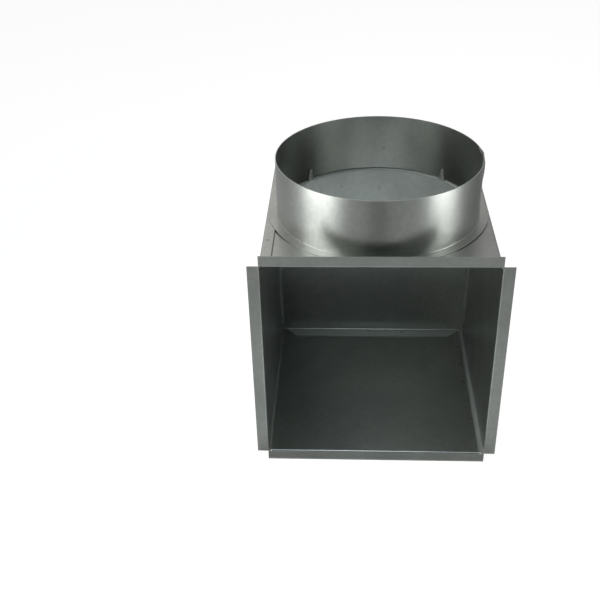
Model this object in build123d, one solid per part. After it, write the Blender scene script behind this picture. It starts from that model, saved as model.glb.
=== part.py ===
from build123d import *
import math
import os

# Flue air inlet adapter: a square box of folded zinc-coated steel sheet, open at the front, with a
# round collar for a duct on its roof. Four sheet pieces are spot welded together: two body sheets of
# two walls each, the back panel and the collar.
# Millimetres. +Z runs up the collar's axis and -Y is the open front. The origin lies under the
# middle of the box, level with the lower edge of the front flanges.

# Sheet metal
sheet = 0.6
corner_bend = 1.4
flange_bend = 0.6
lap_gap = 0.1

# Collar
collar_radius = 75.0
collar_height = 44.0
collar_flange = 6.5
collar_bend = 1.0
collar_lap = 10.0
collar_joggle = 3.0
collar_seam_angle = 2.0

# Room on the roof round the collar, out to the box's side walls, front and back
side_margin = 7.5
front_margin = 9.0
back_margin = 7.0

# Body
box_width = 2 * (side_margin + collar_radius)
box_height = 165.0
box_depth = front_margin + 2 * collar_radius + back_margin
flange_width = 8.0
corner_relief = 0.4
seam_width = 8.0
seam_clearance = 1.8
seam_setback = 1.5

# Back panel
panel_flange = 12.0
panel_top_flange = 7.0

# Hole in the roof, its dished edge and the tabs turned up there
hole_lip = 1.4
dish_width = 1.6
dish_drop = 0.6
tab_width = 5.0
tab_tip_width = 2.0
tab_height = 9.0
tab_bend = 0.4

# Spots where the collar's flange is pressed down and welded to the roof
weld_count = 4
weld_angle = 45.0
dimple_radius = 2.2
dimple_floor_radius = 1.2

# Planes that the pieces share
wall_x = box_width / 2
front_y = -box_depth / 2
back_y = box_depth / 2
fold_y = front_y + sheet + flange_bend
floor_z = flange_width
roof_z = floor_z + box_height
middle_z = floor_z + box_height / 2
seat_z = roof_z + lap_gap + sheet
rim_z = seat_z + collar_height
axis_y = front_y + front_margin + collar_radius
hole_radius = collar_radius - sheet - hole_lip
ring_radius = collar_radius + collar_flange
collar_axis = Axis((0, axis_y, 0), (0, 0, 1))
weld_spots = [weld_angle + 360 / weld_count * n for n in range(weld_count)]
hung = (Align.CENTER, Align.MIN, Align.MAX)


# Section of one sheet folded along a line of corners. The line is the outside of the folds, and the
# sheet's thickness lies on the side that the line turns to: 90 for left, -90 for right.
def folded_section(corners, bend, turn):
    outside = [Vector(*corner) for corner in corners]
    normals = [(b - a).normalized().rotate(Axis.Z, turn) for a, b in zip(outside, outside[1:])]
    shifts = [normals[0], *[m + n for m, n in zip(normals, normals[1:])], normals[-1]]
    inside = [corner + shift * sheet for corner, shift in zip(outside, shifts)]
    outer_line = FilletPolyline(*outside, radius=bend + sheet)
    inner_line = FilletPolyline(*inside, radius=bend)
    ends = [Line(outer_line @ 0, inner_line @ 0), Line(outer_line @ 1, inner_line @ 1)]
    return make_face([outer_line, inner_line, *ends])


# Place at an angle about the collar's axis, with local X pointing outwards
def about_collar(angle):
    return Pos(0, axis_y, 0) * Rot(0, 0, angle)


# Flange turned outwards from the front edge of one wall. The wall's outer face lies at z = 0. The
# fold stops short of the box corners, and the flat of the flange runs on over the wall's full length.
# At the ends in ear_ends, -1 or 1 along X, an ear closes the flange up to its sheet's own corner.
def front_flange(length, ear_ends):
    ear_width = corner_bend + sheet
    fold_length = length - 2 * (ear_width + corner_relief)
    section = folded_section(
        [(fold_y + flange_bend, sheet), (front_y, sheet), (front_y, -flange_width)],
        flange_bend,
        90,
    )
    flange = extrude(Plane.YZ * section, amount=fold_length / 2, both=True)
    ear_height = flange_bend + corner_relief
    flat = Box(length, sheet, flange_width - ear_height, align=hung)
    flange += Pos(0, front_y, -ear_height) * flat
    ear = Box(ear_width, sheet, ear_height, align=hung)
    for end in ear_ends:
        flange += Pos(end * (length - ear_width) / 2, front_y, 0) * ear
    return flange


# Tab turned up at the edge of the roof's hole, drawn at angle 0 about the collar's axis
def hole_tab():
    root = hole_radius + sheet + tab_bend
    section = folded_section(
        [(root + tab_bend, roof_z - sheet), (hole_radius, roof_z - sheet), (hole_radius, roof_z + tab_height)],
        tab_bend,
        -90,
    )
    blank = extrude(Plane.XZ * section, amount=tab_width / 2, both=True)
    outline = Polyline(
        (-tab_width / 2, roof_z - sheet),
        (tab_width / 2, roof_z - sheet),
        (tab_width / 2, roof_z + tab_bend),
        (tab_tip_width / 2, roof_z + tab_height),
        (-tab_tip_width / 2, roof_z + tab_height),
        (-tab_width / 2, roof_z + tab_bend),
        close=True,
    )
    taper = extrude(Plane.YZ * make_face(outline), amount=root + tab_bend)
    return blank & taper


# Box wrap: the lower of two body sheets. It makes the floor and the left wall with their front
# flanges, and a seam strip at the top of the wall that lies on the roof.
def make_box_wrap():
    corner = corner_bend + sheet
    floor_end = wall_x - corner - seam_clearance
    section = folded_section(
        [(-wall_x + seam_width, seat_z), (-wall_x, seat_z), (-wall_x, floor_z), (floor_end, floor_z)],
        corner_bend,
        90,
    )
    body = extrude(Plane.XZ.offset(-back_y) * section, amount=back_y - fold_y)

    # The two rounded corners run on to the front, and a plate fills the angle outside each of them
    nose = extrude(Plane.XZ.offset(-fold_y) * section, amount=fold_y - front_y)
    for corner_z, upwards in ((floor_z, 1), (seat_z, -1)):
        middle = (-wall_x + corner / 2, corner_z + upwards * corner / 2)
        angle = Pos(*middle) * Rectangle(corner, corner)
        plate = angle - Pos(-wall_x + corner, corner_z + upwards * corner) * Circle(corner)
        body += nose & extrude(Plane.XZ.offset(-fold_y) * angle, amount=fold_y - front_y)
        body += extrude(Plane.XZ.offset(-front_y) * plate, amount=-sheet)

    # Front end of the seam strip, cut back clear of the other sheet's flange
    notch_width = seam_width - corner
    notch = Box(notch_width, seam_setback, sheet, align=(Align.CENTER, Align.MIN, Align.MIN))
    body -= Pos(-wall_x + corner + notch_width / 2, fold_y, roof_z + lap_gap) * notch

    body += Pos(0, 0, floor_z) * front_flange(box_width, [-1])
    body += Pos(-wall_x, 0, middle_z) * Rot(0, 90, 0) * front_flange(box_height, [-1, 1])
    return body


# Roof wrap: the same sheet turned half round, so that it makes the roof and the right wall, with a
# seam strip under the floor and the hole for the collar
def make_roof_wrap():
    body = Pos(0, 0, middle_z) * Rot(0, 180, 0) * Pos(0, 0, -middle_z) * make_box_wrap()

    # The edge of the hole is dished downwards
    dish_radius = hole_radius + dish_width
    body -= Pos(0, axis_y, roof_z) * Cylinder(dish_radius, 2 * (seat_z - roof_z + sheet))
    dish = Polyline(
        (dish_radius, roof_z),
        (hole_radius, roof_z - dish_drop),
        (hole_radius, roof_z - dish_drop - sheet),
        (dish_radius, roof_z - sheet),
        close=True,
    )
    body += revolve(about_collar(0) * (Plane.XZ * make_face(dish)), axis=collar_axis)

    # Each tab takes the strip of the edge that it was turned up from
    root = hole_radius + sheet + tab_bend
    slot = Box(
        hole_lip + sheet + tab_bend,
        tab_width,
        sheet + dish_drop,
        align=(Align.MAX, Align.CENTER, Align.MAX),
    )
    for angle in weld_spots:
        body -= about_collar(angle) * Pos(root, 0, roof_z) * slot
        body += about_collar(angle) * hole_tab()
    return body


# One flange of the back panel, turned forwards from its edge and mitred at both ends. The panel's
# outer edge lies at z = 0.
def panel_edge(length, depth):
    bend = flange_bend + sheet
    section = folded_section(
        [(back_y - depth, 0), (back_y, 0), (back_y, 2 * bend)],
        flange_bend,
        90,
    )
    strip = extrude(Plane.YZ * section, amount=length / 2, both=True)
    outline = Polyline(
        (-length / 2, back_y),
        (-length / 2 + depth, back_y - depth),
        (length / 2 - depth, back_y - depth),
        (length / 2, back_y),
        close=True,
    )
    return strip & extrude(make_face(outline), amount=2 * bend)


# Back panel: a shallow pan that closes the back, with its flanges inside the body
def make_back_panel():
    panel_width = box_width - 2 * (sheet + lap_gap)
    panel_height = box_height - 2 * (sheet + lap_gap)
    bend = flange_bend + sheet
    plate = Box(panel_width - 2 * bend, sheet, panel_height - 2 * bend)
    panel = Pos(0, back_y - sheet / 2, middle_z) * plate
    corner = corner_bend + lap_gap
    across = (panel_width - 2 * corner, panel_height / 2)
    upright = (panel_height - 2 * corner, panel_width / 2)
    edges = [
        (0, *across, panel_flange),
        (90, *upright, panel_flange),
        (180, *across, panel_top_flange),
        (270, *upright, panel_flange),
    ]

    # Rounded corners of the plate, which reach into the corners of the body between the flanges
    lug = corner + flange_bend
    lugs = RectangleRounded(panel_width, panel_height, corner_bend)
    lugs -= Rectangle(panel_width - 2 * lug, panel_height)
    lugs -= Rectangle(panel_width, panel_height - 2 * lug)
    panel += extrude(Pos(0, back_y, middle_z) * (Plane.XZ * lugs), amount=sheet)

    for turn, length, reach, depth in edges:
        edge = panel_edge(length, depth)
        panel += Pos(0, 0, middle_z) * Rot(0, turn, 0) * Pos(0, 0, -reach) * edge
    return panel


# Collar: a rolled strip whose inner end steps in under its outer end, with its foot turned outwards
# to a flange that sits on the roof's seam strip
def make_collar():
    joggle_angle = math.degrees(collar_joggle / collar_radius)
    lap_angle = math.degrees(collar_lap / collar_radius)
    inner_radius = collar_radius - sheet
    section = folded_section(
        [(inner_radius, rim_z), (inner_radius, seat_z), (ring_radius, seat_z)],
        collar_bend,
        90,
    )
    start = about_collar(collar_seam_angle) * (Plane.XZ * section)
    collar = revolve(start, axis=collar_axis, revolution_arc=360 - joggle_angle)

    # Joggle and inner lap, from the top of the foot's bend to the rim
    lap_outer = inner_radius - lap_gap
    lap_inner = lap_outer - sheet
    outer_arc = CenterArc((0, 0), lap_outer, 0, lap_angle)
    inner_arc = CenterArc((0, 0), lap_inner, 0, lap_angle)
    step_out = Vector(collar_radius, 0).rotate(Axis.Z, -joggle_angle)
    step_in = Vector(inner_radius, 0).rotate(Axis.Z, -joggle_angle)
    lap_edge = [
        Line(step_in, step_out),
        Line(step_out, outer_arc @ 0),
        outer_arc,
        Line(outer_arc @ 1, inner_arc @ 1),
        inner_arc,
        Line(inner_arc @ 0, step_in),
    ]
    lap_foot = seat_z + sheet + collar_bend
    lap = extrude(make_face(lap_edge), amount=rim_z - lap_foot)
    collar += about_collar(collar_seam_angle) * Pos(0, 0, lap_foot) * lap

    # Weld dimples in the flange, pressed down until they meet the roof
    depth = seat_z - roof_z
    press = Cone(dimple_floor_radius, dimple_radius, depth, align=(Align.CENTER, Align.CENTER, Align.MIN))
    spot_radius = (collar_radius + collar_bend + ring_radius) / 2
    for angle in weld_spots:
        spot = about_collar(angle) * Pos(spot_radius, 0, roof_z)
        collar += spot * press
        collar -= spot * Pos(0, 0, sheet) * press
    return collar


pieces = {
    "box_wrap": make_box_wrap(),
    "roof_wrap": make_roof_wrap(),
    "back_panel": make_back_panel(),
    "collar": make_collar(),
}

os.makedirs("parts", exist_ok=True)
for name, piece in pieces.items():
    export_step(piece, f"parts/{name}.step")
    print(name, round(piece.volume, 1), len(piece.solids()))
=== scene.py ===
import math

import bpy
from mathutils import Matrix, Vector


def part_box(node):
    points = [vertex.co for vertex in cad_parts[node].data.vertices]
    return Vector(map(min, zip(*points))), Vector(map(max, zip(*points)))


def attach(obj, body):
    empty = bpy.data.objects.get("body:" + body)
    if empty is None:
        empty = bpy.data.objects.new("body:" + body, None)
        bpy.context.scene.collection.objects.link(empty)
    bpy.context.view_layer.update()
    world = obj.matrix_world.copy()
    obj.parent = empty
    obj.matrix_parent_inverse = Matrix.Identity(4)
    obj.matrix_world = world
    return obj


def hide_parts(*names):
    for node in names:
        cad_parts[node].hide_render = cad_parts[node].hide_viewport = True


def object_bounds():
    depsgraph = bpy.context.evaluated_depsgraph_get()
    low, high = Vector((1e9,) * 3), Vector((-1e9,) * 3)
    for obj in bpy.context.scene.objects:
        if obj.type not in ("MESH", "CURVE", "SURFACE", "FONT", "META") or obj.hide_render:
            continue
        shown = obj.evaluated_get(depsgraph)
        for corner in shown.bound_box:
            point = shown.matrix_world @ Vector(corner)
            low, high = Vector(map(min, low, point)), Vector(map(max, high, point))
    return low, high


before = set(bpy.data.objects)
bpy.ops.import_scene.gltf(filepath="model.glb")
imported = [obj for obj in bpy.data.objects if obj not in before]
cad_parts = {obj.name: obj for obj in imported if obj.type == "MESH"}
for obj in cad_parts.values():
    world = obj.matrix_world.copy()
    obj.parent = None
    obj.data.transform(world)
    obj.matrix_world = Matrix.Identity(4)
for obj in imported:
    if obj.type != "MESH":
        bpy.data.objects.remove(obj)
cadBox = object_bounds()
mm = 0.001
print("frame loaded:", ", ".join(sorted(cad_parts)))

# Faces of the folded body in mm, worked out from the frame
sheetMm = 0.6
gapMm = 0.1           # left between sheets that are welded together
panelLow, panelHigh = (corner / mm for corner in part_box("back_panel"))
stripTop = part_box("box_wrap")[1].z / mm
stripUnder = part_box("roof_wrap")[0].z / mm
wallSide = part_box("box_wrap")[1].x / mm
floorTop = panelLow.z - gapMm
floorUnder = floorTop - sheetMm
roofTop = panelHigh.z + gapMm + sheetMm
flangeTop = panelLow.z + sheetMm
flangeSide = panelHigh.x - sheetMm
panelFace = panelHigh.y - sheetMm

# Settings that many nodes share
plus = {"operation": "ADD"}
minus = {"operation": "SUBTRACT"}
times = {"operation": "MULTIPLY"}
timesPlus = {"operation": "MULTIPLY_ADD"}
over = {"operation": "DIVIDE"}
above = {"operation": "GREATER_THAN"}
larger = {"operation": "MAXIMUM"}
absolute = {"operation": "ABSOLUTE"}
ofLength = {"operation": "LENGTH"}
smoothly = {"interpolation_type": "SMOOTHSTEP"}
inColour = {"data_type": "RGBA"}
asVector = {"data_type": "FLOAT_VECTOR"}
aboutZ = {"rotation_type": "Z_AXIS"}


# sRGB hex to linear, the form that sockets take
def toLinear(hexColour):
    parts = [int(hexColour[i:i + 2], 16) / 255 for i in (1, 3, 5)]
    linear = [c / 12.92 if c <= 0.04045 else ((c + 0.055) / 1.055) ** 2.4 for c in parts]
    return (*linear, 1.0)


# One node in a tree: its settings, then its inputs by name or in order. An input is a value, a socket,
# or a node whose first output is meant.
def addNode(tree, kind, settings=None, inputs=None):
    node = tree.nodes.new(kind)
    for name, value in (settings or {}).items():
        setattr(node, name, value)
    named = inputs if isinstance(inputs, dict) else dict(enumerate(inputs or ()))
    for name, value in named.items():
        if isinstance(value, bpy.types.Node):
            value = next(socket for socket in value.outputs if socket.enabled)
        if isinstance(value, bpy.types.NodeSocket):
            tree.links.new(value, node.inputs[name])
        else:
            node.inputs[name].default_value = value
    return node


def newMaterial(name):
    material = bpy.data.materials.new(name)
    material.use_nodes = True
    material.node_tree.nodes.clear()
    return material


# A geometry tree with a named input for each size and for the metal: returns it with its input
# sockets and its output node
def newTree(name, sizes):
    tree = bpy.data.node_groups.new(name, "GeometryNodeTree")
    tree.interface.new_socket("Geometry", in_out="INPUT", socket_type="NodeSocketGeometry")
    for label, value in sizes.items():
        kind = "NodeSocketInt" if isinstance(value, int) else "NodeSocketFloat"
        tree.interface.new_socket(label, in_out="INPUT", socket_type=kind)
    tree.interface.new_socket("Metal", in_out="INPUT", socket_type="NodeSocketMaterial")
    tree.interface.new_socket("Geometry", in_out="OUTPUT", socket_type="NodeSocketGeometry")
    return tree, tree.nodes.new("NodeGroupInput").outputs, tree.nodes.new("NodeGroupOutput")


# A piece grown by a geometry tree from a start mesh and baked to a plain mesh
def grow(name, tree, values, startMesh):
    piece = bpy.data.objects.new(name, startMesh)
    bpy.context.scene.collection.objects.link(piece)
    modifier = piece.modifiers.new(name, "NODES")
    modifier.node_group = tree
    for item in tree.interface.items_tree:
        if item.in_out == "INPUT" and item.name in values:
            modifier[item.identifier] = values[item.name]
    graph = bpy.context.evaluated_depsgraph_get()
    baked = bpy.data.meshes.new_from_object(piece.evaluated_get(graph), depsgraph=graph)
    piece.modifiers.remove(modifier)
    piece.data = baked
    baked.name = name
    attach(piece, "root")
    return piece


# Galvanised steel sheet: hot dipped and skin passed. Satin grey metal with soft clouds of oxide, a
# faint mottle of zinc crystals and a slight waviness that bends the reflections.
sheetLook = {
    "zinc": "#aaada9",
    "zincPale": "#b1b4b0",
    "zincDull": "#9ca09d",
    "mottleMm": 3.5,               # coarser than the real crystals, so that it shows
    "mottleRange": (0.35, 0.65),   # of the noise, from zinc to pale zinc
    "cloudMm": 40.0,
    "cloudRange": (0.45, 0.75),    # of the noise, from clear to cloudy
    "cloudShare": 0.8,
    "waveMm": 60.0,
    "waveDepthMm": 0.15,
    "roughness": 0.305,
    "roughnessSpread": 0.04,
    "roughnessRange": (0.3, 0.7),  # of the clouds' noise, over the whole spread
    # painted highlight: lighter zinc where bends, tabs, flanges and the hole's edge should look lit
    "highlightZinc": "#b9bcb8",
    "highlightRough": 0.4,            # added in the zones painted lighter as highlights: bends, tabs, flanges and the hole's edge
    "zoneFadeMm": 0.4,
    # painted shade: the dark line along the seam strip's edge
    "shadeLine": "#5a5c59",
}

# Where the zinc is painted lighter as a highlight and made rougher, or painted darker as a shade line: the
# middle and half size of each zone in mm, and how far it goes.
# A zone with a ring radius lies round the middle, with its half size across the ring.
# Painted highlights: the floor bends, top flange, tabs and hole's edge get lighter zinc, by how much light
# should catch each
bodyZones = {
    "left_floor_bend": {"middle": (-81.4, 0, 9.0), "half": (0.9, 83, 1.2), "share": 0.25},
    "right_floor_bend": {"middle": (80.6, 0, 8.6), "half": (1.8, 83, 1.5), "share": 0.8},
    "top_flange": {"middle": (0, -83, 177.5), "half": (92, 1.2, 5), "share": 0.2},
    "left_tab": {"middle": (-52, 53, 178.6), "half": (4.5, 4.5, 4.8), "share": 1.0},
    "right_tab": {"middle": (52, 53, 178.6), "half": (4.5, 4.5, 4.8), "share": 0.6},
    "hole_edge": {"middle": (0, 1, 172.6), "half": (1.4, 1, 1.6), "share": 1.0, "ring": 74.4},
}
# Painted highlights on the back panel: lighter zinc on its bottom and side flanges
panelZones = {
    "bottom_flange": {"middle": (0, 75.4, 9.2), "half": (82, 4.8, 1.0), "share": 1.0},
    "left_flange": {"middle": (-81.5, 76.4, 90.5), "half": (0.8, 5.4, 82), "share": 0.7},
    "right_flange": {"middle": (81.5, 76.4, 90.5), "half": (0.8, 5.4, 82), "share": 0.7},
}
# A dark line painted along the seam strip's edge, as shade where the strip stands off the roof
shadeLineZones = {
    "seam_strip_edge": {"middle": (-74.4, 0, 173.2), "half": (0.25, 82, 0.6), "share": 0.8},
}


# Share of a surface that lies in any of the zones, fading out over a short way
def zoneShare(tree, place, zones, fadeMm):
    share = 0.0
    for zone in zones.values():
        apart = addNode(tree, "ShaderNodeVectorMath", minus, (place, Vector(zone["middle"]) * mm))
        if "ring" in zone:
            flat = addNode(tree, "ShaderNodeVectorMath", times, (apart, (1, 1, 0)))
            away = addNode(tree, "ShaderNodeVectorMath", ofLength, (flat,)).outputs["Value"]
            across = addNode(tree, "ShaderNodeMath", minus, (away, zone["ring"] * mm))
            level = addNode(tree, "ShaderNodeSeparateXYZ", None, (apart,)).outputs["Z"]
            apart = addNode(tree, "ShaderNodeCombineXYZ", None, {"X": across, "Z": level})
        apart = addNode(tree, "ShaderNodeVectorMath", absolute, (apart,))
        apart = addNode(tree, "ShaderNodeVectorMath", minus, (apart, Vector(zone["half"]) * mm))
        ways = addNode(tree, "ShaderNodeSeparateXYZ", None, (apart,)).outputs
        outside = addNode(tree, "ShaderNodeMath", larger, (ways["X"], ways["Y"]))
        outside = addNode(tree, "ShaderNodeMath", larger, (outside, ways["Z"]))
        inside = addNode(tree, "ShaderNodeMapRange", None, {
            "Value": outside, "From Max": fadeMm * mm, "To Min": zone["share"], "To Max": 0.0})
        share = addNode(tree, "ShaderNodeMath", larger, (share, inside))
    return share


def galvanisedSheet(name, look, highlightZones, shadeZones):
    material = newMaterial(name)
    tree = material.node_tree
    place = addNode(tree, "ShaderNodeTexCoord").outputs["Object"]
    mottle = addNode(tree, "ShaderNodeTexNoise", None, {
        "Vector": place, "Scale": 1 / (look["mottleMm"] * mm), "Detail": 1.0}).outputs[0]
    cloud = addNode(tree, "ShaderNodeTexNoise", None, {
        "Vector": place, "Scale": 1 / (look["cloudMm"] * mm), "Detail": 3.0, "Roughness": 0.5}).outputs[0]
    wave = addNode(tree, "ShaderNodeTexNoise", None, {
        "Vector": place, "Scale": 1 / (look["waveMm"] * mm), "Detail": 0.0}).outputs[0]
    low, high = look["mottleRange"]
    pale = addNode(tree, "ShaderNodeMapRange", None, {"Value": mottle, "From Min": low, "From Max": high})
    crystals = addNode(tree, "ShaderNodeMix", inColour, {
        "Factor": pale, "A": toLinear(look["zinc"]), "B": toLinear(look["zincPale"])})
    low, high = look["cloudRange"]
    cloudy = addNode(tree, "ShaderNodeMapRange", None, {
        "Value": cloud, "From Min": low, "From Max": high, "To Max": look["cloudShare"]})
    colour = addNode(tree, "ShaderNodeMix", inColour, {
        "Factor": cloudy, "A": crystals, "B": toLinear(look["zincDull"])})
    low, high = look["roughnessRange"]
    rough = addNode(tree, "ShaderNodeMapRange", None, {
        "Value": cloud, "From Min": low, "From Max": high,
        "To Min": look["roughness"] - look["roughnessSpread"] / 2,
        "To Max": look["roughness"] + look["roughnessSpread"] / 2})
    # Lighter zinc is painted in the highlight zones as highlights, which are also rougher, and darker zinc
    # in the shade zones as painted shade
    highlightShare = zoneShare(tree, place, highlightZones, look["zoneFadeMm"])
    shaded = zoneShare(tree, place, shadeZones, look["zoneFadeMm"])
    colour = addNode(tree, "ShaderNodeMix", inColour, {
        "Factor": highlightShare, "A": colour, "B": toLinear(look["highlightZinc"])})
    colour = addNode(tree, "ShaderNodeMix", inColour, {
        "Factor": shaded, "A": colour, "B": toLinear(look["shadeLine"])})
    rough = addNode(tree, "ShaderNodeMath", timesPlus, (highlightShare, look["highlightRough"], rough))
    bump = addNode(tree, "ShaderNodeBump", None, {
        "Height": wave, "Strength": 1.0, "Distance": look["waveDepthMm"] * mm})
    shader = addNode(tree, "ShaderNodeBsdfPrincipled", None, {
        "Base Color": colour, "Metallic": 1.0, "Roughness": rough, "Normal": bump})
    addNode(tree, "ShaderNodeOutputMaterial", None, {"Surface": shader})
    return material


boxSheet = galvanisedSheet("galvanised_sheet_steel", sheetLook, bodyZones, shadeLineZones)
panelSheet = galvanisedSheet("galvanised_panel_steel", sheetLook, panelZones, {})
collarSheet = galvanisedSheet("galvanised_collar_steel", sheetLook, {}, {})
nodeMetal = {"box_wrap": boxSheet, "roof_wrap": boxSheet, "back_panel": panelSheet, "collar": collarSheet}
for node, metal in nodeMetal.items():
    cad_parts[node].material_slots[0].material = metal
print("galvanised sheet on", len(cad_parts), "nodes")

# Collar: a strip rolled to a ring, whose foot is turned outwards. The foot lies down on the roof,
# rides over the seam strip at the left and stands a little off at the right front. The strip's outer
# end laps over its inner end and springs outwards below the rim. Arcs and angles are in radians.
collarShape = {
    "Radius": 75.0 * mm,
    "Height": cadBox[1].z - stripTop * mm - 0.15 * mm,   # the sprung end tips up by the rest
    "Foot Width": 6.5 * mm,
    "Bend": 0.3 * mm,
    "Sheet": sheetMm * mm,
    "Seat": stripTop * mm,
    "Axis Y": 1.0 * mm,
    "Seam Angle": math.radians(2.0),
    "Joggle": 3.0 * mm,
    "Joggle Foot": 2.0 * mm,     # above the seat, where the step inwards begins
    "Lap": 10.0 * mm,
    "Lap Foot": 5.0 * mm,        # above the seat, where the inner end is cut off
    "Lap Gap": gapMm * mm,
    "Settle": 0.5 * mm,
    "Settle Reach": 10.0 * mm,   # up the wall
    "Strip Arc": 0.42,           # to each side of the left, where the foot rides on the strip
    "Strip Ease": 0.66,          # to each side of the left, where it has settled
    "Lift": 0.6,                 # share of the settling that is missing at the right front
    "Lift Angle": math.radians(329),
    "Lift Arc": 0.24,
    "Lift Ease": 0.45,
    "Dimple": 0.16 * mm,
    "Dimple Place": 3.9 * mm,    # out from the wall
    "Dimple Flat": 0.8 * mm,
    "Dimple Edge": 2.8 * mm,
    "Spring": 2.2 * mm,
    "Spring Arc": 0.14,
    "Spring At Rim": 0.3,        # share of the spring
    "Spring Full": 8.0 * mm,     # these three are below the rim
    "Spring Fade": 13.0 * mm,
    "Spring End": 34.0 * mm,
    "Wave": 0.24 * mm,
    "Wave Rate": 2.2,            # larger for more waves round the collar
    "Seed": 4.0,
    "Steps Round": 480,
    "Steps Down": 30,
    "Wall Steps": 0.4,           # share of the steps down that lie on the plain wall
    "Wall Length": 0.84,         # share of the profile that they cover
    "Bend Steps": 7,
    "Lap Steps Round": 24,
    "Lap Steps Down": 8,
    "Merge": 0.01 * mm,
    "Sharp Angle": math.radians(40),
}


# Profile of the strip's inner face: down the wall, round the bend and out along the foot
def collarProfile(tree, size, innerRadius, rim):
    index = addNode(tree, "GeometryNodeInputIndex")
    onFoot = addNode(tree, "ShaderNodeMath", above, (index, 1))
    footReach = addNode(tree, "ShaderNodeMath", plus, (size["Foot Width"], size["Sheet"]))
    outwards = addNode(tree, "ShaderNodeMath", timesPlus, (onFoot, footReach, innerRadius))
    offRim = addNode(tree, "ShaderNodeMath", above, (index, 0))
    drop = addNode(tree, "ShaderNodeMath", times, (offRim, size["Height"]))
    upwards = addNode(tree, "ShaderNodeMath", minus, (rim, drop))
    corner = addNode(tree, "ShaderNodeCombineXYZ", None, {"X": outwards, "Z": upwards})
    line = addNode(tree, "GeometryNodeMeshLine", None, {"Count": 3})
    path = addNode(tree, "GeometryNodeMeshToCurve", None, {"Mesh": line})
    placed = addNode(tree, "GeometryNodeSetPosition", None, {"Geometry": path, "Position": corner})
    bend = addNode(tree, "ShaderNodeMath", plus, (size["Bend"], size["Sheet"]))
    return addNode(tree, "GeometryNodeFilletCurve", {"mode": "POLY"}, {
        "Curve": placed, "Radius": bend, "Count": size["Bend Steps"]})


# Height of the strip: its foot settles, but not over the seam strip and less at the right front, and
# is pressed down at four dimples
def collarHeight(tree, size, angle, onProfile):
    fromStrip = addNode(tree, "ShaderNodeMath", minus, (angle, math.pi))
    fromStrip = addNode(tree, "ShaderNodeMath", absolute, (fromStrip,))
    offStrip = addNode(tree, "ShaderNodeMapRange", smoothly, {
        "Value": fromStrip, "From Min": size["Strip Arc"], "From Max": size["Strip Ease"],
        "To Max": size["Settle"]})
    fromLift = addNode(tree, "ShaderNodeMath", minus, (angle, size["Lift Angle"]))
    fromLift = addNode(tree, "ShaderNodeMath", absolute, (fromLift,))
    lifted = addNode(tree, "ShaderNodeMapRange", smoothly, {
        "Value": fromLift, "From Min": size["Lift Arc"], "From Max": size["Lift Ease"],
        "To Min": size["Lift"], "To Max": 0.0})
    settled = addNode(tree, "ShaderNodeMath", minus, (1.0, lifted))
    aboveSeat = addNode(tree, "ShaderNodeMath", minus, (onProfile["Z"], size["Seat"]))
    atFoot = addNode(tree, "ShaderNodeMapRange", smoothly, {
        "Value": aboveSeat, "From Max": size["Settle Reach"], "To Min": 1.0, "To Max": 0.0})
    settle = addNode(tree, "ShaderNodeMath", times, (offStrip, settled))
    settle = addNode(tree, "ShaderNodeMath", times, (settle, atFoot))

    quarter = addNode(tree, "ShaderNodeMath", {"operation": "FLOORED_MODULO"}, (angle, math.pi / 2))
    quarter = addNode(tree, "ShaderNodeMath", minus, (quarter, math.pi / 4))
    spotAside = addNode(tree, "ShaderNodeMath", times, (quarter, onProfile["X"]))
    spotRadius = addNode(tree, "ShaderNodeMath", plus, (size["Radius"], size["Dimple Place"]))
    spotAcross = addNode(tree, "ShaderNodeMath", minus, (onProfile["X"], spotRadius))
    toSpot = addNode(tree, "ShaderNodeCombineXYZ", None, {"X": spotAside, "Y": spotAcross})
    fromSpot = addNode(tree, "ShaderNodeVectorMath", ofLength, (toSpot,)).outputs["Value"]
    pressed = addNode(tree, "ShaderNodeMapRange", smoothly, {
        "Value": fromSpot, "From Min": size["Dimple Flat"], "From Max": size["Dimple Edge"],
        "To Min": size["Dimple"], "To Max": 0.0})
    height = addNode(tree, "ShaderNodeMath", minus, (onProfile["Z"], settle))
    return addNode(tree, "ShaderNodeMath", minus, (height, pressed))


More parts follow.
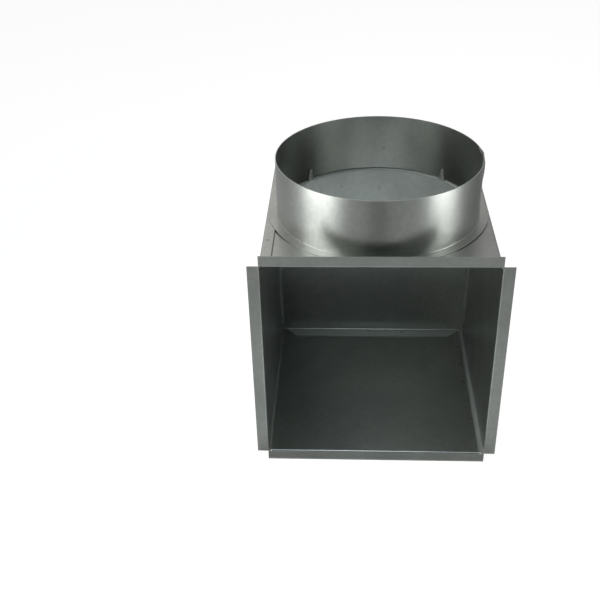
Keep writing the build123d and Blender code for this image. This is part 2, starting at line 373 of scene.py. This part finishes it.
# Radius of the strip: a slight waviness, the outer end that springs out below the rim, and at the
# other end the step inwards before the lap
def collarRadius(tree, size, turned, angle, onProfile, rim, stepDepth):
    arm = addNode(tree, "ShaderNodeCombineXYZ", None, {"X": size["Wave Rate"]})
    circle = addNode(tree, "ShaderNodeVectorRotate", aboutZ, {"Vector": arm, "Angle": angle})
    seedPlace = addNode(tree, "ShaderNodeCombineXYZ", None, {"Y": size["Seed"]})
    spot = addNode(tree, "ShaderNodeVectorMath", plus, (circle, seedPlace))
    noise = addNode(tree, "ShaderNodeTexNoise", {"noise_dimensions": "2D"}, {
        "Vector": spot, "Scale": 1.0, "Detail": 1.0}).outputs[0]
    wavy = addNode(tree, "ShaderNodeMath", minus, (noise, 0.5))
    radius = addNode(tree, "ShaderNodeMath", timesPlus, (wavy, size["Wave"], onProfile["X"]))

    fromRim = addNode(tree, "ShaderNodeMath", minus, (rim, onProfile["Z"]))
    opening = addNode(tree, "ShaderNodeMapRange", smoothly, {
        "Value": fromRim, "From Max": size["Spring Full"], "To Min": size["Spring At Rim"]})
    closing = addNode(tree, "ShaderNodeMapRange", smoothly, {
        "Value": fromRim, "From Min": size["Spring Fade"], "From Max": size["Spring End"],
        "To Min": 1.0, "To Max": 0.0})
    bulge = addNode(tree, "ShaderNodeMath", times, (opening, closing))
    spring = addNode(tree, "ShaderNodeMapRange", smoothly, {
        "Value": turned, "From Max": size["Spring Arc"], "To Min": size["Spring"], "To Max": 0.0})
    radius = addNode(tree, "ShaderNodeMath", timesPlus, (bulge, spring, radius))

    toEnd = addNode(tree, "ShaderNodeMath", minus, (math.tau, turned))
    jogAngle = addNode(tree, "ShaderNodeMath", over, (size["Joggle"], size["Radius"]))
    inwards = addNode(tree, "ShaderNodeMapRange", smoothly, {
        "Value": toEnd, "From Max": jogAngle, "To Min": stepDepth, "To Max": 0.0})
    aboveSeat = addNode(tree, "ShaderNodeMath", minus, (onProfile["Z"], size["Seat"]))
    offFoot = addNode(tree, "ShaderNodeMapRange", smoothly, {
        "Value": aboveSeat, "From Min": size["Joggle Foot"], "From Max": size["Lap Foot"]})
    stepped = addNode(tree, "ShaderNodeMath", times, (inwards, offFoot))
    return addNode(tree, "ShaderNodeMath", minus, (radius, stepped))


# A grid laid round the collar's axis
def wrapGrid(tree, size, grid, radius, height, angle):
    axis = addNode(tree, "ShaderNodeCombineXYZ", None, {"Y": size["Axis Y"]})
    place = addNode(tree, "ShaderNodeCombineXYZ", None, {"X": radius, "Z": height})
    spun = addNode(tree, "ShaderNodeVectorRotate", aboutZ, {"Vector": place, "Angle": angle})
    return addNode(tree, "GeometryNodeSetPosition", None, {
        "Geometry": grid, "Position": spun, "Offset": axis})


def collarTree():
    tree, size, end = newTree("rolled_collar", collarShape)
    innerRadius = addNode(tree, "ShaderNodeMath", minus, (size["Radius"], size["Sheet"]))
    rim = addNode(tree, "ShaderNodeMath", plus, (size["Seat"], size["Height"]))
    stepDepth = addNode(tree, "ShaderNodeMath", plus, (size["Sheet"], size["Lap Gap"]))

    # Grid of the strip: X runs round the collar, Y down the profile, with most rows at the foot
    strip = addNode(tree, "GeometryNodeMeshGrid", None, {
        "Size X": 1.0, "Size Y": 1.0, "Vertices X": size["Steps Round"], "Vertices Y": size["Steps Down"]})
    place = addNode(tree, "GeometryNodeInputPosition")
    cell = addNode(tree, "ShaderNodeSeparateXYZ", None, (place,)).outputs
    roundShare = addNode(tree, "ShaderNodeMath", plus, (cell["X"], 0.5))
    downShare = addNode(tree, "ShaderNodeMath", plus, (cell["Y"], 0.5))
    wallPart = addNode(tree, "ShaderNodeMapRange", None, {
        "Value": downShare, "From Max": size["Wall Steps"], "To Max": size["Wall Length"]})
    footLength = addNode(tree, "ShaderNodeMath", minus, (1.0, size["Wall Length"]))
    footPart = addNode(tree, "ShaderNodeMapRange", None, {
        "Value": downShare, "From Min": size["Wall Steps"], "To Max": footLength})
    along = addNode(tree, "ShaderNodeMath", plus, (wallPart, footPart))
    profile = collarProfile(tree, size, innerRadius, rim)
    point = addNode(tree, "GeometryNodeSampleCurve", {"use_all_curves": True}, {
        "Curves": profile, "Factor": along}).outputs["Position"]
    onProfile = addNode(tree, "ShaderNodeSeparateXYZ", None, (point,)).outputs
    turned = addNode(tree, "ShaderNodeMath", times, (roundShare, math.tau))
    angle = addNode(tree, "ShaderNodeMath", plus, (turned, size["Seam Angle"]))
    height = collarHeight(tree, size, angle, onProfile)
    radius = collarRadius(tree, size, turned, angle, onProfile, rim, stepDepth)
    ring = wrapGrid(tree, size, strip, radius, height, angle)

    # Inner end of the strip, behind the outer end
    tongue = addNode(tree, "GeometryNodeMeshGrid", None, {
        "Size X": 1.0, "Size Y": 1.0,
        "Vertices X": size["Lap Steps Round"], "Vertices Y": size["Lap Steps Down"]})
    lapArc = addNode(tree, "ShaderNodeMath", over, (size["Lap"], size["Radius"]))
    lapAngle = addNode(tree, "ShaderNodeMath", timesPlus, (roundShare, lapArc, size["Seam Angle"]))
    lapRadius = addNode(tree, "ShaderNodeMath", minus, (innerRadius, stepDepth))
    lapFoot = addNode(tree, "ShaderNodeMath", plus, (size["Seat"], size["Lap Foot"]))
    lapDrop = addNode(tree, "ShaderNodeMath", minus, (lapFoot, rim))
    lapHeight = addNode(tree, "ShaderNodeMath", timesPlus, (downShare, lapDrop, rim))
    lapped = wrapGrid(tree, size, tongue, lapRadius, lapHeight, lapAngle)

    # Thickness, sharp edges where the sheet is cut or faces meet in threes, and the metal
    inner = addNode(tree, "GeometryNodeJoinGeometry", None, {"Geometry": ring})
    tree.links.new(lapped.outputs[0], inner.inputs[0])
    skin = addNode(tree, "GeometryNodeFlipFaces", None, {"Mesh": inner})
    outer = addNode(tree, "GeometryNodeExtrudeMesh", None, {
        "Mesh": skin, "Offset Scale": size["Sheet"], "Individual": False})
    both = addNode(tree, "GeometryNodeJoinGeometry", None, {"Geometry": outer})
    tree.links.new(inner.outputs[0], both.inputs[0])
    welded = addNode(tree, "GeometryNodeMergeByDistance", None, {
        "Geometry": both, "Distance": size["Merge"]})
    smooth = addNode(tree, "GeometryNodeSetShadeSmooth", None, {"Geometry": welded, "Shade Smooth": True})
    edgeAngle = addNode(tree, "GeometryNodeInputMeshEdgeAngle")
    cut = addNode(tree, "ShaderNodeMath", above, (edgeAngle, size["Sharp Angle"]))
    edgeFaces = addNode(tree, "GeometryNodeInputMeshEdgeNeighbors")
    joined = addNode(tree, "ShaderNodeMath", above, (edgeFaces, 2))
    edges = addNode(tree, "ShaderNodeMath", larger, (cut, joined))
    sharp = addNode(tree, "GeometryNodeSetShadeSmooth", {"domain": "EDGE"}, {
        "Geometry": smooth, "Selection": edges, "Shade Smooth": False})
    real = addNode(tree, "GeometryNodeRealizeInstances", None, {"Geometry": sharp})
    coated = addNode(tree, "GeometryNodeSetMaterial", None, {"Geometry": real, "Material": size["Metal"]})
    tree.links.new(coated.outputs[0], end.inputs[0])
    return tree


collarStart = bpy.data.meshes.new("collar_start")
collar = grow("rolled_collar", collarTree(), {**collarShape, "Metal": collarSheet}, collarStart)
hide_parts("collar")
print("collar rolled:", len(collar.data.polygons), "faces")

# Spot welds: small pressed prints, mostly in rows along the seams
weldShape = {
    "Pitch": 24.0 * mm,
    "Print": 1.6 * mm,
    "Crown": 0.6,          # share of a print's width that is flat on top
    "Stray": 1.2 * mm,
    "Proud": 0.09 * mm,
    "Sides": 20,
    "Seed": 7,
}

# Each row has a start and an end in mm, the way its prints face and their share of the full size. A
# row that is shorter than the pitch has a print at each end. The corner rows close a gap at the ends of
# the panel's bottom flange, and the row in the collar stands for a dent.
up = (0, 0, 1)
down = (0, 0, -1)
right = (1, 0, 0)
left = (-1, 0, 0)
forwards = (0, -1, 0)
toAxis = (-0.075, -0.997, 0)
cornerDepth = panelFace + 0.2
cornerTop = flangeTop + 0.2
weldRows = {
    "floor_seam": ((76.0, -68.0, floorTop), (75.0, 56.0, floorTop), up, 1.0),
    "floor_seam_under": ((78.0, -68.0, stripUnder), (78.0, 56.0, stripUnder), down, 1.0),
    "roof_seam_front": ((-78.5, -70.0, stripTop), (-78.5, -46.0, stripTop), up, 1.0),
    "roof_seam_back": ((-78.5, 50.0, stripTop), (-78.5, 74.0, stripTop), up, 1.0),
    "left_back_edge": ((-wallSide, 77.0, 24.0), (-wallSide, 77.0, 156.0), left, 1.0),
    "right_back_edge": ((wallSide, 77.0, 20.0), (wallSide, 77.0, 160.0), right, 1.0),
    "left_back_inside": ((-flangeSide, 77.0, 24.0), (-flangeSide, 77.0, 156.0), right, 1.0),
    "right_back_inside": ((flangeSide, 77.0, 20.0), (flangeSide, 77.0, 160.0), left, 1.0),
    "floor_back_inside": ((-3.0, 78.6, flangeTop), (26.0, 78.6, flangeTop), up, 0.9),
    "floor_back_under": ((-3.0, 78.6, floorUnder), (26.0, 78.6, floorUnder), down, 0.9),
    "panel_inside": ((-26.8, panelFace, 152.6), (4.0, panelFace, 151.5), forwards, 0.55),
    "collar_mark": ((5.6, 75.2, 189.4), (5.6, 75.2, 189.6), toAxis, 0.7),
    "left_corner": ((-80.6, cornerDepth, flangeTop), (-80.6, cornerDepth, cornerTop), forwards, 0.8),
    "right_corner": ((80.6, cornerDepth, flangeTop), (80.6, cornerDepth, cornerTop), forwards, 0.8),
    "roof_back_edge": ((-56.0, 80.3, roofTop), (-44.0, 80.3, roofTop), up, 1.0),
}


def weldTree():
    tree, size, end = newTree("spot_welds", weldShape)
    lines = addNode(tree, "GeometryNodeMeshToCurve", None, {"Mesh": size["Geometry"]})
    spots = addNode(tree, "GeometryNodeResampleCurve", {"mode": "LENGTH"}, {
        "Curve": lines, "Length": size["Pitch"]})
    facing = addNode(tree, "GeometryNodeInputNamedAttribute", asVector, {"Name": "facing"})
    share = addNode(tree, "GeometryNodeInputNamedAttribute", asVector, {"Name": "share"})
    loose = addNode(tree, "FunctionNodeRandomValue", asVector, {
        "Min": (-1, -1, -1), "Max": (1, 1, 1), "Seed": size["Seed"]})
    inPlane = addNode(tree, "ShaderNodeVectorMath", {"operation": "CROSS_PRODUCT"}, (loose, facing))
    stray = addNode(tree, "ShaderNodeVectorMath", {"operation": "SCALE"}, {
        "Vector": inPlane, "Scale": size["Stray"]})
    moved = addNode(tree, "GeometryNodeSetPosition", None, {"Geometry": spots, "Offset": stray})
    top = addNode(tree, "ShaderNodeMath", times, (size["Print"], size["Crown"]))
    mark = addNode(tree, "GeometryNodeMeshCone", None, {
        "Vertices": size["Sides"], "Radius Bottom": size["Print"], "Radius Top": top,
        "Depth": size["Proud"]})
    turn = addNode(tree, "FunctionNodeAlignRotationToVector", {"axis": "Z"}, {"Vector": facing})
    prints = addNode(tree, "GeometryNodeInstanceOnPoints", None, {
        "Points": moved, "Instance": mark, "Rotation": turn, "Scale": share})
    real = addNode(tree, "GeometryNodeRealizeInstances", None, {"Geometry": prints})
    coated = addNode(tree, "GeometryNodeSetMaterial", None, {"Geometry": real, "Material": size["Metal"]})
    tree.links.new(coated.outputs[0], end.inputs[0])
    return tree


# Zinc pressed and heated by the weld tips: a little duller and rougher than the sheet round it
weldLook = {**sheetLook, "zinc": "#959894", "zincPale": "#a1a4a0", "zincDull": "#898c89",
            "mottleMm": 0.8, "roughness": 0.4}


def makeWelds():
    points = []
    facings = []
    shares = []
    for start, stop, facing, share in weldRows.values():
        points += [Vector(start) * mm, Vector(stop) * mm]
        facings += [*facing, *facing]
        shares += [share, share, share] * 2
    mesh = bpy.data.meshes.new("weld_rows")
    mesh.from_pydata(points, [(i, i + 1) for i in range(0, len(points), 2)], [])
    mesh.attributes.new("facing", "FLOAT_VECTOR", "POINT").data.foreach_set("vector", facings)
    mesh.attributes.new("share", "FLOAT_VECTOR", "POINT").data.foreach_set("vector", shares)
    metal = galvanisedSheet("weld_tip_print", weldLook, {}, {})
    return grow("spot_welds", weldTree(), {**weldShape, "Metal": metal}, mesh)


welds = makeWelds()
print("spot welds:", len(welds.data.polygons), "faces")

# Studio: a white table that the box leans back on, pale surroundings that are lighter behind and to the
# left, a soft light overhead, a softbox standing at each side and cards lying on the table.
# Two of the cards are painted shade on the table, which only the metal mirrors.
studio = {
    "tableWhite": "#a6a6a4",
    "tableHalf": 4.0,
    "glowToCamera": 0.80,
    "glowToMetal": 0.17,
    "worldColour": "#fffbfa",
    "worldFrontLeft": 0.13,
    "worldFrontRight": 0.0,
    "worldBackLeft": 0.85,
    "worldBackRight": 0.42,
    "frontToBack": (-0.6, 0.6),      # parts of a unit direction over which the brightness changes
    "leftToRightFront": (-0.05, 0.05),
    "leftToRightBack": (-0.1, 0.2),
    "cardLift": 1.0 * mm,
    "lights": {
        "overhead_light": {
            "place": (0.0, -0.08, 1.4), "aim": (0, 0, 0), "size": (0.66, 1.2),
            "radiance": 2.3, "spread": 180, "colour": "#dcf0f6"},
        "left_softbox": {
            "place": (-0.40, -0.205, 0.37), "aim": (0, 0, 0.37), "size": (0.34, 0.7),
            "radiance": 1.98, "spread": 110, "colour": "#ffffff"},
        "right_softbox": {
            "place": (0.44, -0.185, 0.2), "aim": (0, 0, 0.2), "size": (0.26, 0.38),
            "radiance": 2.15, "spread": 110, "colour": "#ffffff"},
    },
    "cards": {
        "brown_card": {"colour": "#2a231e", "from": (-0.08, -0.60), "to": (0.08, -0.42)},
        "white_card": {"colour": "#f2fafa", "from": (-0.08, -0.30), "to": (0.08, -0.11)},
        # painted shade: a grey strip on the table in front of the box, for the contact shadow that the
        # metal mirrors
        "front_shade_strip": {"colour": "#acacaa", "from": (-0.09, -0.10), "to": (0.09, -0.0835)},
        # painted shade: a grey card at the back right, for shade on the table that the collar mirrors
        "back_right_shade_card": {"colour": "#8c8c8a", "from": (0.22, 0.02), "to": (0.5, 0.4)},
    },
}

# The table touches the lower edge of the front flange and the seam strip under the back of the floor
lean = math.atan2(stripUnder * mm, cadBox[1].y - cadBox[0].y)


# A flat piece that lies along the slope of the table
def layFlat(name, nearLeft, farRight, lift, material):
    (leftEdge, near), (rightEdge, far) = nearLeft, farRight
    places = ((leftEdge, near), (rightEdge, near), (rightEdge, far), (leftEdge, far))
    corners = [(x, y, (y - cadBox[0].y) * math.tan(lean) + lift) for x, y in places]
    mesh = bpy.data.meshes.new(name)
    mesh.from_pydata(corners, [], [(0, 1, 2, 3)])
    mesh.materials.append(material)
    flat = bpy.data.objects.new(name, mesh)
    bpy.context.scene.collection.objects.link(flat)
    return flat


# Matt white table top: plain white in the picture, and a softer grey where the metal mirrors it
def tableTop():
    material = newMaterial("white_table_top")
    tree = material.node_tree
    path = addNode(tree, "ShaderNodeLightPath").outputs
    toMetal = addNode(tree, "ShaderNodeMath", times, (path["Is Glossy Ray"], studio["glowToMetal"]))
    glow = addNode(tree, "ShaderNodeMath", timesPlus, (
        path["Is Camera Ray"], studio["glowToCamera"], toMetal))
    paint = addNode(tree, "ShaderNodeBsdfDiffuse", None, {"Color": toLinear(studio["tableWhite"])})
    light = addNode(tree, "ShaderNodeEmission", None, {"Strength": glow})
    both = addNode(tree, "ShaderNodeAddShader", None, (paint, light))
    addNode(tree, "ShaderNodeOutputMaterial", None, {"Surface": both})
    return material


# Matt card: only the metal mirrors it
def mattCard(name, colour):
    material = newMaterial(name)
    paint = addNode(material.node_tree, "ShaderNodeBsdfDiffuse", None, {"Color": toLinear(colour)})
    addNode(material.node_tree, "ShaderNodeOutputMaterial", None, {"Surface": paint})
    return material


def makeTable():
    half = studio["tableHalf"]
    table = layFlat("white_table", (-half, -half), (half, half), 0.0, tableTop())


def makeCard(name, look):
    card = layFlat(name, look["from"], look["to"], studio["cardLift"], mattCard(name, look["colour"]))
    card.visible_camera = False
    card.visible_diffuse = False
    card.visible_shadow = False


# White to the camera, and a brightness for each quarter where the metal mirrors it
def makeWorld():
    world = bpy.data.worlds.new("pale_studio")
    world.use_nodes = True
    tree = world.node_tree
    tree.nodes.clear()
    outwards = addNode(tree, "ShaderNodeTexCoord").outputs["Generated"]
    way = addNode(tree, "ShaderNodeSeparateXYZ", None, (outwards,)).outputs
    start, stop = studio["frontToBack"]
    behind = addNode(tree, "ShaderNodeMapRange", None, {
        "Value": way["Y"], "From Min": start, "From Max": stop})
    start, stop = studio["leftToRightBack"]
    back = addNode(tree, "ShaderNodeMapRange", None, {
        "Value": way["X"], "From Min": start, "From Max": stop,
        "To Min": studio["worldBackLeft"], "To Max": studio["worldBackRight"]})
    start, stop = studio["leftToRightFront"]
    front = addNode(tree, "ShaderNodeMapRange", None, {
        "Value": way["X"], "From Min": start, "From Max": stop,
        "To Min": studio["worldFrontLeft"], "To Max": studio["worldFrontRight"]})
    level = addNode(tree, "ShaderNodeMix", None, {"Factor": behind, "A": front, "B": back})
    seen = addNode(tree, "ShaderNodeLightPath").outputs["Is Camera Ray"]
    strength = addNode(tree, "ShaderNodeMix", None, {"Factor": seen, "A": level, "B": 1.0})
    tint = addNode(tree, "ShaderNodeMix", inColour, {
        "Factor": seen, "A": toLinear(studio["worldColour"]), "B": (1, 1, 1, 1)})
    sky = addNode(tree, "ShaderNodeBackground", None, {"Color": tint, "Strength": strength})
    addNode(tree, "ShaderNodeOutputWorld", None, {"Surface": sky})
    bpy.context.scene.world = world


def makeLight(name, light):
    lamp = bpy.data.lights.new(name, "AREA")
    lamp.shape = "RECTANGLE"
    lamp.size, lamp.size_y = light["size"]
    lamp.spread = math.radians(light["spread"])
    lamp.color = toLinear(light["colour"])[:3]
    lamp.energy = light["radiance"] * math.pi * lamp.size * lamp.size_y
    holder = bpy.data.objects.new(name, lamp)
    place = Vector(light["place"])
    aim = Vector(light["aim"]) - place
    holder.matrix_world = Matrix.Translation(place) @ aim.to_track_quat("-Z", "Y").to_matrix().to_4x4()
    holder.visible_camera = False
    bpy.context.scene.collection.objects.link(holder)


makeTable()
for name, look in studio["cards"].items():
    makeCard(name, look)
makeWorld()
for name, light in studio["lights"].items():
    makeLight(name, light)
print("studio ready")

# Camera fitted to the box's edges and circles in a 600 by 600 frame
view = {
    "azimuth": 3.65,
    "elevation": 32.64,
    "roll": -1.65,
    "distance": 0.6347,
    "lookAt": (-0.05465, -0.083, 0.14646),
    "focalPixels": 920.1,
    "framePixels": 600,
}


def makeCamera():
    azimuth, elevation, roll = (math.radians(view[k]) for k in ("azimuth", "elevation", "roll"))
    back = Vector((math.sin(azimuth) * math.cos(elevation),
                   -math.cos(azimuth) * math.cos(elevation),
                   math.sin(elevation)))
    level = Vector((0, 0, 1)).cross(back).normalized()
    upright = back.cross(level)
    across = math.cos(roll) * level + math.sin(roll) * upright
    upwards = math.cos(roll) * upright - math.sin(roll) * level
    lens = bpy.data.cameras.new("photo_camera")
    lens.sensor_width = 36.0
    lens.lens = view["focalPixels"] / view["framePixels"] * lens.sensor_width
    lens.clip_start = 0.01
    camera = bpy.data.objects.new("photo_camera", lens)
    turn = Matrix((across, upwards, back)).transposed().to_4x4()
    camera.matrix_world = Matrix.Translation(Vector(view["lookAt"]) + view["distance"] * back) @ turn
    bpy.context.scene.collection.objects.link(camera)
    bpy.context.scene.camera = camera


makeCamera()
bpy.context.scene.view_settings.view_transform = "Standard"
print("camera ready")
